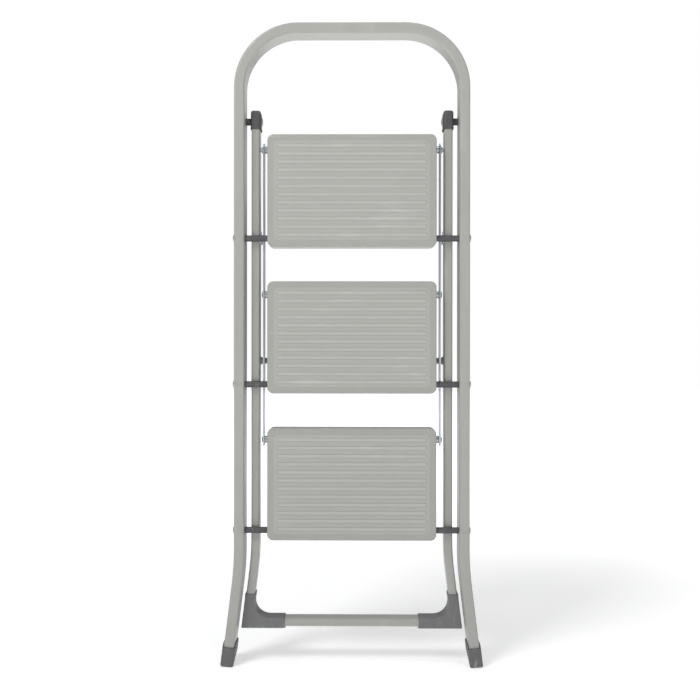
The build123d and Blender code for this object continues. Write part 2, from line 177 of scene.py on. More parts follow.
class Finish:
    """One material, built on a Principled shader."""

    def __init__(self, name, **settings):
        self.material = bpy.data.materials.new(name)
        self.material.use_nodes = True
        self.tree = self.material.node_tree
        self.shader = self.tree.nodes["Principled BSDF"]
        for socket, value in settings.items():
            self.shader.inputs[socket.replace("_", " ")].default_value = value
        place = self.node("ShaderNodeTexCoord", {}, {})
        self.place = place.outputs["Object"]
        parts = self.node("ShaderNodeSeparateXYZ", {}, {0: self.place})
        self.x, self.y, self.z = (Wire(self, socket) for socket in parts.outputs)

    def node(self, kind, settings, values):
        """A node of a kind, its settings made first and then its sockets fed."""
        made = self.tree.nodes.new(kind)
        for name, value in settings.items():
            setattr(made, name, value)
        for key, value in values.items():
            self.feed(made.inputs[key], value)
        return made

    def feed(self, socket, value):
        """Links a wire or socket to a socket, or writes a constant on it."""
        if isinstance(value, Wire):
            value = value.socket
        if isinstance(value, bpy.types.NodeSocket):
            self.tree.links.new(value, socket)
        elif isinstance(value, tuple) and len(value) == 3 and socket.type == "RGBA":
            socket.default_value = (*value, 1.0)
        else:
            socket.default_value = value

    def stretched(self, scale):
        """The piece's own coordinates, stretched along each axis."""
        return self.node("ShaderNodeVectorMath", {"operation": "MULTIPLY"}, {0: self.place, 1: scale}).outputs[0]

    def noise(self, scale, detail=2.0, roughness=0.5, stretch=(1.0, 1.0, 1.0)):
        """Soft clouds between 0 and 1, this many to the metre."""
        values = {"Vector": self.stretched(stretch), "Scale": scale, "Detail": detail, "Roughness": roughness}
        return Wire(self, self.node("ShaderNodeTexNoise", {}, values).outputs["Fac"])

    def cells(self, scale, stretch=(1.0, 1.0, 1.0)):
        """Small grains, each with one random number of its own."""
        values = {"Vector": self.stretched(stretch), "Scale": scale}
        return Wire(self, self.node("ShaderNodeTexVoronoi", {}, values).outputs["Color"])

    def mixed(self, share, first, second):
        """A colour between two colours."""
        values = {MIX_SHARE: share, MIX_FIRST: first, MIX_SECOND: second}
        return self.node("ShaderNodeMix", {"data_type": "RGBA"}, values).outputs[MIX_COLOUR]

    def near_axle(self, axle, reach, fade):
        """1 close to an axle along X, falling to 0 outside reach."""
        across = (self.y - axle.y) * (self.y - axle.y) + (self.z - axle.z) * (self.z - axle.z)
        return 1.0 - (across ** 0.5).spread(reach, reach + fade)

    def set(self, socket, value):
        self.feed(self.shader.inputs[socket], value)

    def bump(self, height, distance, strength=1.0):
        values = {"Height": height, "Distance": distance, "Strength": strength}
        self.feed(self.shader.inputs["Normal"], self.node("ShaderNodeBump", {}, values).outputs[0])


def enamel(name, light, dark, rubbed=()):
    """Baked enamel on steel: fine orange peel, faint handling marks, rubbed rings at the pivots."""
    finish = Finish(name, Roughness=0.4, IOR=1.5, Coat_Roughness=0.25)
    broad = finish.noise(4.0, 3.0)
    cloud = finish.noise(22.0, 4.0, 0.6)
    smear = finish.noise(30.0, 5.0, 0.65, (1.0, 1.0, 0.18)).spread(0.52, 0.78)
    speck = finish.noise(720.0, 1.0).spread(0.70, 0.76)
    colour = finish.mixed(broad * 0.5 + cloud * 0.5, dark, light)
    colour = finish.mixed(smear * 0.10, colour, (0.60, 0.60, 0.57))
    colour = finish.mixed(speck * 0.35, colour, (0.16, 0.155, 0.14))
    rub = 0.0
    for axle, reach in rubbed:
        rub = finish.near_axle(axle, reach, 5 * MM) + rub
    if rubbed:
        rub = rub * finish.noise(160.0, 4.0, 0.7).spread(0.42, 0.62)
        colour = finish.mixed(rub * 0.45, colour, (0.20, 0.195, 0.18))
    finish.set("Base Color", colour)
    finish.set("Roughness", 0.33 + cloud * 0.14 + smear * 0.12 + rub * 0.1)
    finish.set("Coat Weight", 0.12 + broad * 0.16)
    peel = finish.noise(420.0, 2.0)
    finish.bump(peel * 0.7 - speck * 0.5, 0.10 * MM, 0.55)
    return finish.material


def tread_enamel(name, light, dark, border_y):
    """Enamel on a tread: rib crests polished and lightened as a painted highlight, scuffs along the tread, painted
    shade at the ribs' feet, the flat border a little darker.
    """
    finish = Finish(name, Roughness=0.42, IOR=1.5, Coat_Roughness=0.3)
    broad = finish.noise(5.0, 3.0)
    cloud = finish.noise(26.0, 4.0, 0.6)
    scuff = finish.noise(34.0, 6.0, 0.7, (0.22, 1.0, 1.0)).spread(0.54, 0.74)
    scratch = finish.noise(120.0, 3.0, 0.6, (0.05, 1.0, 1.0)).spread(0.64, 0.70)
    rise = border_y - finish.y
    # Rib crests: polished, and lightened as a painted highlight.
    crest_polish_and_highlight = rise.spread(0.2 * MM, PANEL_RISE + RIB_RISE)
    # Ribs' feet: a band of painted shade round the base of each rib.
    rib_foot_shade = rise.spread(PANEL_RISE, 0.72 * MM) - rise.spread(0.80 * MM, 1.1 * MM)
    border = 1.0 - rise.spread(0.1 * MM, 0.5 * MM)
    colour = finish.mixed(broad * 0.5 + cloud * 0.5, dark, light)
    # Painted highlight on the rib crests, together with their polish.
    colour = finish.mixed(crest_polish_and_highlight * (0.30 + scuff * 0.35), colour, (0.56, 0.56, 0.53))
    # Painted shade at the ribs' feet.
    colour = finish.mixed(rib_foot_shade * (0.55 + cloud * 0.30), colour, (0.220, 0.220, 0.200))
    # The flat border a little darker.
    colour = finish.mixed(border * (0.10 + broad * 0.10), colour, (0.26, 0.26, 0.24))
    colour = finish.mixed(scratch * 0.14, colour, (0.58, 0.58, 0.56))
    finish.set("Base Color", colour)
    finish.set("Roughness", 0.44 + cloud * 0.12 - crest_polish_and_highlight * 0.08 + scuff * 0.08)
    finish.set("Coat Weight", 0.08 + broad * 0.12)
    peel = finish.noise(380.0, 2.0)
    finish.bump(peel * 0.7 - scratch * 0.6, 0.10 * MM, 0.6)
    return finish.material


def moulded(name, light, dark, floor_z=None):
    """Matt moulded plastic: fine spark grain, pale scuffs, more of them near the floor."""
    finish = Finish(name, Roughness=0.55, IOR=1.47)
    broad = finish.noise(18.0, 3.0)
    grain = finish.noise(1500.0, 2.0)
    scuff = finish.noise(95.0, 5.0, 0.7, (1.0, 1.0, 0.4)).spread(0.53, 0.70)
    wear = scuff * 0.25
    if floor_z is not None:
        wear = scuff * (0.15 + (1.0 - finish.z.spread(floor_z, floor_z + 26 * MM)) * 0.55)
    colour = finish.mixed(broad * 0.7 + grain * 0.3, dark, light)
    colour = finish.mixed(wear, colour, (0.36, 0.36, 0.35))
    finish.set("Base Color", colour)
    finish.set("Roughness", 0.46 + broad * 0.12 + wear * 0.25)
    finish.bump(grain * 0.6 + scuff * 0.25, 0.08 * MM, 0.5)
    return finish.material


def zinc(name, light, dark, along=(1.0, 1.0, 1.0)):
    """Bright zinc plate: small spangles, drawn streaks and a faint blue tint."""
    finish = Finish(name, Roughness=0.32)
    spangle = finish.cells(420.0, (1.0, 1.0, 0.7))
    streak = finish.noise(240.0, 4.0, 0.6, along)
    stain = finish.noise(28.0, 4.0, 0.65).spread(0.45, 0.8)
    colour = finish.mixed(spangle * 0.45 + streak * 0.55, dark, light)
    colour = finish.mixed(stain * 0.25, colour, (0.34, 0.35, 0.34))
    finish.set("Base Color", colour)
    finish.set("Metallic", 1.0 - stain * 0.25)
    finish.set("Roughness", 0.26 + streak * 0.16 + stain * 0.16)
    finish.bump(streak * 0.5 + spangle * 0.3, 0.04 * MM, 0.5)
    return finish.material


ENAMEL_LIGHT = (0.400, 0.400, 0.372)
ENAMEL_DARK = (0.345, 0.345, 0.320)
pivots = [(axle, 8 * MM) for axle in axles.values()]
frame_paint = enamel("front_frame_enamel", ENAMEL_LIGHT, ENAMEL_DARK, [*pivots, (hinge, 9 * MM)])
rear_paint = enamel("rear_frame_enamel", ENAMEL_LIGHT, ENAMEL_DARK, [(hinge, 15 * MM)])
tread_border_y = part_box("step_top")[0].y + PANEL_RISE + RIB_RISE
tread_paint = tread_enamel("tread_enamel", ENAMEL_LIGHT, ENAMEL_DARK, tread_border_y)
foot_plastic = moulded("foot_plastic", (0.135, 0.135, 0.138), (0.105, 0.105, 0.108), 0.0)
shoe_plastic = moulded("shoe_plastic", (0.180, 0.180, 0.183), (0.142, 0.142, 0.145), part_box("rear_shoe_left")[0].z)
cap_plastic = moulded("cap_plastic", (0.085, 0.085, 0.09), (0.065, 0.065, 0.07))
link_zinc = zinc("link_zinc", (0.62, 0.66, 0.70), (0.42, 0.46, 0.50), (1.0, 1.0, 0.04))
pin_zinc = zinc("pin_zinc", (0.50, 0.52, 0.55), (0.32, 0.34, 0.36), (0.08, 1.0, 1.0))


# ---------------------------------------------------------------- making and placing


def place_piece(name, bm, material, body, node):
    """Turns a finished bmesh into a piece on a body, in place of a CAD node."""
    bmesh.ops.remove_doubles(bm, verts=bm.verts, dist=SAME_PLACE)
    bmesh.ops.recalc_face_normals(bm, faces=bm.faces)
    mesh = bpy.data.meshes.new(name)
    bm.to_mesh(mesh)
    bm.free()
    mesh.shade_smooth()
    mesh.set_sharp_from_angle(angle=SMOOTH_ANGLE)
    mesh.materials.append(material)
    piece = bpy.data.objects.new(name, mesh)
    bpy.context.scene.collection.objects.link(piece)
    steady = piece.modifiers.new("even_normals", "WEIGHTED_NORMAL")
    steady.keep_sharp = True
    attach(piece, body)
    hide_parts(node)


def only(kind, geom):
    """The points, edges or faces of an operator's mixed list."""
    return [item for item in geom if isinstance(item, kind)]


def new_edges(geom):
    """Of an extrusion, the edges that run between new points only."""
    points = set(only(bmesh.types.BMVert, geom))
    return [edge for edge in only(bmesh.types.BMEdge, geom) if all(point in points for point in edge.verts)]


def flat_plate(bm, width, length, corner, segments):
    """A flat face in the XY plane, rounded at its corners."""
    made = bmesh.ops.create_grid(bm, x_segments=1, y_segments=1, size=0.5)
    bmesh.ops.scale(bm, vec=(width, length, 1), verts=made["verts"])
    bmesh.ops.bevel(bm, geom=made["verts"], offset=corner, segments=segments, **CORNER_BEVEL)
    return bm.faces[:][0]


def pushed(bm, face, vec):
    """Extrudes a face along a vector and returns its new end."""
    made = bmesh.ops.extrude_face_region(bm, geom=[face])["geom"]
    bmesh.ops.translate(bm, vec=vec, verts=only(bmesh.types.BMVert, made))
    return only(bmesh.types.BMFace, made)[0]


def softened(bm, offset, segments=2, over=50):
    """Rounds every edge that turns by more than an angle in degrees."""
    bmesh.ops.recalc_face_normals(bm, faces=bm.faces)
    sharp = [edge for edge in bm.edges if edge.calc_face_angle(0) > math.radians(over)]
    bmesh.ops.bevel(bm, geom=sharp, offset=offset, segments=segments, **BEVEL)


class TubeBender:
    """Draws a tube in the XZ plane from its section. A positive bend turns the heading from +Z towards +X."""

    def __init__(self, width, depth, corner, start, heading):
        self.bm = bmesh.new()
        flat_plate(self.bm, width, depth, corner, CORNER_SEGMENTS)
        self.at = Vector(start)
        self.heading = heading
        turn = Matrix.Rotation(heading, 4, "Y")
        bmesh.ops.transform(self.bm, matrix=Matrix.Translation(self.at) @ turn, verts=self.bm.verts)
        self.edges = list(self.bm.edges)

    def along(self):
        """The way the tube is heading."""
        return Vector((math.sin(self.heading), 0, math.cos(self.heading)))

    def straight(self, length, runs=1):
        for _ in range(runs):
            made = bmesh.ops.extrude_edge_only(self.bm, edges=self.edges)["geom"]
            step = self.along() * length / runs
            bmesh.ops.translate(self.bm, vec=step, verts=only(bmesh.types.BMVert, made))
            self.edges = new_edges(made)
        self.at += self.along() * length

    def across(self):
        """Square to the tube's way, on the side that a positive bend turns to."""
        return Vector((math.cos(self.heading), 0, -math.sin(self.heading)))

    def bend(self, radius, angle, steps):
        side = math.copysign(1, angle)
        centre = self.at + self.across() * side * radius
        made = bmesh.ops.spin(
            self.bm, geom=self.edges, cent=centre, axis=Y_AXIS, angle=angle, steps=steps, use_duplicate=False
        )["geom_last"]
        self.edges = new_edges(made)
        self.heading += angle
        self.at = centre - self.across() * side * radius

    def closed(self):
        """The whole tube with its far end shut."""
        bmesh.ops.contextual_create(self.bm, geom=self.edges)
        return self.bm


def turned(outline, y, z, side=1, steps=28):
    """A piece turned on a lathe about an X axis. The outline is (x, radius) pairs; radius 0 closes an end."""
    bm = bmesh.new()
    points = [bm.verts.new((side * x, y, z + radius)) for x, radius in outline]
    edges = [bm.edges.new(pair) for pair in zip(points, points[1:])]
    bmesh.ops.spin(
        bm, geom=points + edges, cent=(0, y, z), axis=X_AXIS, angle=math.tau, steps=steps, use_merge=True
    )
    bmesh.ops.remove_doubles(bm, verts=bm.verts, dist=SAME_PLACE)
    bmesh.ops.dissolve_degenerate(bm, edges=bm.edges, dist=SAME_PLACE / 10)
    return bm


def together(*meshes):
    """Joins bmeshes into one."""
    whole = bmesh.new()
    for part in meshes:
        held = bpy.data.meshes.new("held")
        part.to_mesh(held)
        part.free()
        whole.from_mesh(held)
        bpy.data.meshes.remove(held)
    return whole


def tangent(radius, angle):
    """How far before a corner a bend of this radius starts."""
    return radius * math.tan(angle / 2)


def middle(box):
    """The middle of a box in Y and Z."""
    low, high = box
    return (low.y + high.y) / 2, (low.z + high.z) / 2


def radius_of(box):
    """The largest radius of a piece that is round about X."""
    low, high = box
    return (high.z - low.z) / 2


def near_and_far(box):
    """How far from the middle plane a piece on one side starts and ends."""
    return sorted((abs(box[0].x), abs(box[1].x)))


# ---------------------------------------------------------------- frame tubes


def front_frame_tube():
    """The upside-down U: up one splayed leg, over the top and down the other. Its ends are hidden in the boots."""
    top_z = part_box("front_frame_tube")[1].z - FRONT_TUBE_WIDTH / 2
    foot_x = FRONT_LEG_X + FRONT_KNEE_Z * math.tan(SPLAY)
    start = Vector((-foot_x, 0, 0)) + Vector((math.sin(SPLAY), 0, math.cos(SPLAY))) * TUBE_END_IN_BOOT
    knee = tangent(SPLAY_RADIUS, SPLAY)
    splayed = FRONT_KNEE_Z / math.cos(SPLAY) - TUBE_END_IN_BOOT - knee
    upright = top_z - FRONT_KNEE_Z - knee - TOP_BEND_RADIUS
    bender = TubeBender(FRONT_TUBE_WIDTH, FRONT_TUBE_DEPTH, FRONT_TUBE_CORNER, start, SPLAY)
    bender.straight(splayed, 3)
    bender.bend(SPLAY_RADIUS, -SPLAY, 8)
    bender.straight(upright, 12)
    bender.bend(TOP_BEND_RADIUS, math.pi / 2, 28)
    bender.straight(2 * (FRONT_LEG_X - TOP_BEND_RADIUS), 4)
    bender.bend(TOP_BEND_RADIUS, math.pi / 2, 28)
    bender.straight(upright, 12)
    bender.bend(SPLAY_RADIUS, -SPLAY, 8)
    bender.straight(splayed, 3)
    place_piece("front_tube", bender.closed(), frame_paint, "front_frame", "front_frame_tube")


def rear_frame_tube():
    """The rear U: down one leg, along the base bar and up the other."""
    low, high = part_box("rear_frame_tube")
    bar_z = low.z + REAR_TUBE_WIDTH / 2
    corner_x = REAR_LEG_X + (REAR_KNEE_Z - bar_z) * math.tan(SPLAY)
    corner_turn = math.pi / 2 + SPLAY
    corner = tangent(REAR_BEND_RADIUS, corner_turn)
    knee = tangent(SPLAY_RADIUS, SPLAY)
    upright = high.z - REAR_KNEE_Z - knee
    splayed = (REAR_KNEE_Z - bar_z) / math.cos(SPLAY) - knee - corner
    start = (REAR_LEG_X, (low.y + high.y) / 2, high.z)
    bender = TubeBender(REAR_TUBE_WIDTH, REAR_TUBE_DEPTH, REAR_TUBE_CORNER, start, math.pi)
    bender.straight(upright, 12)
    bender.bend(SPLAY_RADIUS, -SPLAY, 8)
    bender.straight(splayed)
    bender.bend(REAR_BEND_RADIUS, corner_turn, 18)
    bender.straight(2 * (corner_x - corner), 6)
    bender.bend(REAR_BEND_RADIUS, corner_turn, 18)
    bender.straight(splayed)
    bender.bend(SPLAY_RADIUS, -SPLAY, 8)
    bender.straight(upright, 12)
    place_piece("rear_tube", bender.closed(), rear_paint, "rear_frame", "rear_frame_tube")


front_frame_tube()
rear_frame_tube()

# ---------------------------------------------------------------- treads


def eased(share):
    """0 to 1 with a soft start and end."""
    share = min(max(share, 0.0), 1.0)
    return share * share * (3 - 2 * share)


def rib_centre(number):
    """How far up or down the tread from its middle a rib runs."""
    return (number - (RIB_COUNT - 1) / 2) * RIB_PITCH


def inside_rounded(x, y, half_width, half_length, corner):
    """How far inside a rounded rectangle a point is; negative outside it."""
    over_x, over_y = abs(x) - half_width + corner, abs(y) - half_length + corner
    outside = math.hypot(max(over_x, 0), max(over_y, 0))
    return corner - outside - min(max(over_x, over_y), 0)


def pressed_height(x, y, width, length):
    """How far the press has pushed the sheet out of its flat border."""
    half_width, half_length = width / 2 - PANEL_MARGIN, length / 2 - PANEL_MARGIN
    panel = inside_rounded(x, y, half_width, half_length, PANEL_CORNER)
    height = PANEL_RISE * eased(panel / PANEL_SLOPE)
    number = round(y / RIB_PITCH + (RIB_COUNT - 1) / 2)
    number = min(max(number, 0), RIB_COUNT - 1)
    straight = half_width - RIB_INSET - RIB_WIDTH / 2
    from_rib = math.hypot(max(abs(x) - straight, 0), y - rib_centre(number))
    return height + RIB_RISE * eased((RIB_WIDTH / 2 - from_rib) / RIB_SLOPE)


def cut_rows(bm, axis, places):
    """Scores a flat sheet across at each place along an axis."""
    for place in places:
        geom = bm.verts[:] + bm.edges[:] + bm.faces[:]
        bmesh.ops.bisect_plane(bm, geom=geom, dist=1e-6, plane_co=axis * place, plane_no=axis)


def pressed_tread(name):
    """A pan of pressed sheet: ribbed panel, flat border, rounded edge and four flanges."""
    low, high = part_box(f"step_{name}")
    middle_x, middle_z = (low.x + high.x) / 2, (low.z + high.z) / 2
    width, length = high.x - low.x, high.z - low.z
    border_y = low.y + PANEL_RISE + RIB_RISE
    depth = high.y - border_y
    bm = bmesh.new()
    flat_plate(bm, width, length, TREAD_CORNER, 8)
    rim = list(bm.edges)
    made = bmesh.ops.extrude_edge_only(bm, edges=rim)["geom"]
    bmesh.ops.translate(bm, vec=(0, 0, -depth), verts=only(bmesh.types.BMVert, made))
    bmesh.ops.bevel(bm, geom=rim, offset=EDGE_ROUND, segments=5, **BEVEL)

    ribs = [rib_centre(number) for number in range(RIB_COUNT)]
    from_panel_end = [side * (length / 2 - PANEL_MARGIN - step * MM) for side in (-1, 1) for step in PANEL_SCORES]
    cut_rows(bm, Y_AXIS, [rib + step * MM for rib in ribs for step in RIB_SCORES] + from_panel_end)
    scores = PANEL_SCORES + RIB_END_SCORES
    cut_rows(bm, X_AXIS, [side * (width / 2 - PANEL_MARGIN - step * MM) for side in (-1, 1) for step in scores] + [0])
    for point in bm.verts:
        if point.co.z > -SAME_PLACE:
            point.co.z += pressed_height(point.co.x, point.co.y, width, length)
    bmesh.ops.recalc_face_normals(bm, faces=bm.faces)
    bmesh.ops.solidify(bm, geom=bm.faces[:], thickness=SHEET)
    stand = Matrix.Translation((middle_x, border_y, middle_z)) @ Matrix.Rotation(math.pi / 2, 4, "X")
    bmesh.ops.transform(bm, matrix=stand, verts=bm.verts)
    place_piece(f"tread_{name}", bm, tread_paint, f"{name}_step", f"step_{name}")


for tread in STEP_NAMES:
    pressed_tread(tread)


# ---------------------------------------------------------------- turned pieces


def domed_head(seat_x, radius, height):
    """The outline of a rivet head from its seat outwards."""
    return [
        (seat_x, radius * 0.97), (seat_x + height * 0.12, radius), (seat_x + height * 0.35, radius * 0.97),
        (seat_x + height * 0.68, radius * 0.80), (seat_x + height * 0.92, radius * 0.48), (seat_x + height, 0),
    ]


def facing_back(outline, about_x):
    """An outline turned end for end about a place along its axis."""
    return [(2 * about_x - x, radius) for x, radius in reversed(outline)]


def chamfered_tube(start, end, radius, chamfer=0.5 * MM):
    """The outline of a short plain sleeve, shut by discs at its ends."""
    return [
        (start, 0), (start, radius - chamfer), (start + chamfer, radius),
        (end - chamfer, radius), (end, radius - chamfer), (end, 0),
    ]


def turned_pair(outline, y, z):
    """The same turned piece on the left and on the right."""
    return together(*(turned(outline, y, z, side) for side in SIDES.values()))


def step_axles():
    """Each tread's axle, riveted over outside the legs, and the sleeves that centre the tread on it."""
    for name in STEP_NAMES:
        axle = axles[name]
        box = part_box(f"step_axle_{name}")
        half = box[1].x - AXLE_HEAD
        head = domed_head(half, radius_of(box), AXLE_HEAD)
        outline = facing_back(head, 0) + [(-half, AXLE_SHANK), (half, AXLE_SHANK)] + head
        rod = turned(outline, axle.y, axle.z)
        place_piece(f"tread_axle_{name}", rod, pin_zinc, "front_frame", f"step_axle_{name}")
        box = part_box(f"axle_sleeves_{name}")
        outline = chamfered_tube(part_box(f"step_{name}")[1].x + PIN_PLAY, box[1].x, radius_of(box))
        sleeves = turned_pair(outline, axle.y, axle.z)
        place_piece(
            f"tread_sleeves_{name}", sleeves, cap_plastic, "front_frame", f"axle_sleeves_{name}"
        )


def main_hinges():
    """The rivets that the rear frame turns on, and the bushes between the frames."""
    for name, side in SIDES.items():
        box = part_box(f"hinge_pin_{name}")
        near, far = near_and_far(box)
        inner_seat, outer_seat = near + HINGE_HEAD, far - HINGE_HEAD
        inner_head = facing_back(domed_head(inner_seat, radius_of(box), HINGE_HEAD), inner_seat)
        outer_head = domed_head(outer_seat, radius_of(box), HINGE_HEAD)
        outline = inner_head + [(inner_seat, HINGE_SHANK), (outer_seat, HINGE_SHANK)] + outer_head
        pin = turned(outline, hinge.y, hinge.z, side)
        place_piece(f"hinge_rivet_{name}", pin, pin_zinc, "front_frame", f"hinge_pin_{name}")
        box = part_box(f"hinge_spacer_{name}")
        bush = turned(chamfered_tube(*near_and_far(box), radius_of(box)), hinge.y, hinge.z, side)
        place_piece(f"hinge_bush_{name}", bush, cap_plastic, "front_frame", f"hinge_spacer_{name}")


def long_pin_end(collar_x, end_x, radius):
    """The outer end of a long link pin: a collar against the bar, then the bare pin that drops into a catch."""
    return [
        (collar_x, radius * 0.97), (collar_x + 0.3 * MM, radius), (collar_x + LINK_HEAD - 0.4 * MM, radius),
        (collar_x + LINK_HEAD, radius * 0.9), (collar_x + LINK_HEAD, LINK_SHANK),
        (end_x - 0.6 * MM, LINK_SHANK), (end_x, 2.9 * MM), (end_x, 0),
    ]


def link_rivets():
    """Rivets through the tread flanges and link bars, and the bushes between them."""
    bar_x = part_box("link_bar_right")[1].x + PIN_PLAY
    for name in STEP_NAMES:
        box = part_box(f"link_pins_{name}")
        pin_y, pin_z = middle(box)
        radius, end_x = radius_of(box), box[1].x
        flange_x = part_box(f"step_{name}")[1].x
        seat_x = flange_x - SHEET
        outline = facing_back(domed_head(seat_x, radius, LINK_HEAD), seat_x)
        outline += [(seat_x, LINK_SHANK), (bar_x, LINK_SHANK)]
        long_pin = end_x > bar_x + 1.5 * LINK_HEAD
        outline += long_pin_end(bar_x, end_x, radius) if long_pin else domed_head(bar_x, radius, LINK_HEAD)
        rivets = turned_pair(outline, pin_y, pin_z)
        place_piece(f"link_rivets_{name}", rivets, pin_zinc, f"{name}_step", f"link_pins_{name}")
        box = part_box(f"link_washers_{name}")
        bushes = turned_pair(chamfered_tube(flange_x, box[1].x, radius_of(box), 0.4 * MM), pin_y, pin_z)
        place_piece(f"link_bushes_{name}", bushes, pin_zinc, f"{name}_step", f"link_washers_{name}")


def rear_cross_rod():
    """The rod between the rear legs, with a bead of weld at each end."""
    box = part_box("rear_crossbar")
    radius, end_x, weld = radius_of(box), box[1].x, 1.8 * MM
    half = [
        (end_x - 5 * MM, radius), (end_x - 3.2 * MM, radius + weld * 0.35), (end_x - 1.5 * MM, radius + weld),
        (end_x - 0.3 * MM, radius + weld * 1.15), (end_x, 0),
    ]
    rod = turned(facing_back(half, 0) + half, *middle(box))
    place_piece("rear_cross_rod", rod, rear_paint, "rear_frame", "rear_crossbar")


step_axles()
main_hinges()
link_rivets()
rear_cross_rod()


# ---------------------------------------------------------------- link bars


def link_strips():
    """Flat zinc strips with round ends, sheared edges softened."""
    for name, side in SIDES.items():
        low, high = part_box(f"link_bar_{name}")
        middle_y, middle_z = middle((low, high))
        width, length, thickness = high.y - low.y, high.z - low.z, high.x - low.x
        bm = bmesh.new()
        pushed(bm, flat_plate(bm, width, length, width / 2 * 0.999, 10), (0, 0, thickness))
        softened(bm, 0.45 * MM, 3, 60)
        stand = Matrix(((0, 0, 1, low.x), (1, 0, 0, middle_y), (0, 1, 0, middle_z), (0, 0, 0, 1)))
        bmesh.ops.transform(bm, matrix=stand, verts=bm.verts)
        place_piece(f"link_strip_{name}", bm, link_zinc, f"{name}_link", f"link_bar_{name}")


link_strips()


# ---------------------------------------------------------------- plastic fittings

BOOT_RIM_HEIGHT = 31 * MM
BOOT_WING_HEIGHT = 5.5 * MM
BOOT_WING_ROOT = 4 * MM
SHOE_LIP_LENGTH = 7 * MM
SHOE_ARM_LIP_LENGTH = 6 * MM
SHOE_SOLE_BELOW_TUBE = 2 * MM
CAP_LIP_LENGTH = 4 * MM
CAP_BOSS_RADIUS = 7.6 * MM
BOOT_LIFT = 1.4 * MM


def cut_away(bm, point, normal):
    """Cuts off everything on the normal's side of a plane and closes the cut."""
    geom = bm.verts[:] + bm.edges[:] + bm.faces[:]
    cut = bmesh.ops.bisect_plane(
        bm, geom=geom, dist=SAME_PLACE, plane_co=point, plane_no=normal, clear_outer=True
    )["geom_cut"]
    bmesh.ops.contextual_create(bm, geom=only(bmesh.types.BMEdge, cut))


def boot_wing(wall, depth, place):
    """The part of a boot's side that stands higher than its rim."""
    bm = bmesh.new()
    pushed(bm, flat_plate(bm, wall * 0.86, depth - 9 * MM, 0.5 * MM, 3), (0, 0, BOOT_WING_HEIGHT + BOOT_WING_ROOT))
    softened(bm, 0.4 * MM, 2, 60)
    bmesh.ops.translate(bm, vec=place, verts=bm.verts)
    return bm


def front_feet():
    """Boots on the front legs: a low rim, a wing on each side and a sole sloped for the open ladder."""
    foot_x = FRONT_LEG_X + (FRONT_KNEE_Z - BOOT_LIFT) * math.tan(SPLAY)
    for name, side in SIDES.items():
        low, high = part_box(f"front_foot_{name}")
        depth = high.y - low.y
        width = FRONT_TUBE_WIDTH + depth - FRONT_TUBE_DEPTH
        wall = (depth - FRONT_TUBE_DEPTH) / 2
        bm = bmesh.new()
        rim = pushed(bm, flat_plate(bm, width, depth, 4 * MM, 6), (0, 0, BOOT_RIM_HEIGHT))
        bmesh.ops.recalc_face_normals(bm, faces=bm.faces)
        bmesh.ops.inset_region(bm, faces=[rim], thickness=0.6 * MM, depth=0.35 * MM, use_even_offset=True)
        cut_away(bm, Vector((0, -depth / 2, 0)), Vector((0, math.sin(FRONT_LEAN), -math.cos(FRONT_LEAN))))
        wing_z = BOOT_RIM_HEIGHT - BOOT_WING_ROOT
        wings = [boot_wing(wall, depth, (end * (width - wall) / 2, 0, wing_z)) for end in SIDES.values()]
        bm = together(bm, *wings)
        stand = Matrix.Translation((side * foot_x, 0, low.z)) @ Matrix.Rotation(-side * SPLAY, 4, "Y")
        bmesh.ops.transform(bm, matrix=stand, verts=bm.verts)
        lift = low.z - min(point.co.z for point in bm.verts)
        bmesh.ops.translate(bm, vec=(0, 0, lift), verts=bm.verts)
        place_piece(f"front_boot_{name}", bm, foot_plastic, "front_frame", f"front_foot_{name}")


def mouth_band(width, depth, length, place):
    """The thick lip at a fitting's mouth, where the tube goes in. Z runs along the tube."""
    bm = bmesh.new()
    pushed(bm, flat_plate(bm, width, depth, 3.5 * MM, 4), (0, 0, length))
    softened(bm, 0.5 * MM)
    bmesh.ops.transform(bm, matrix=place, verts=bm.verts)
    return bm


def rear_leg_x(z):
    """How far from the middle plane a rear leg's centre line is, below its knee."""
    return REAR_LEG_X + (REAR_KNEE_Z - z) * math.tan(SPLAY)


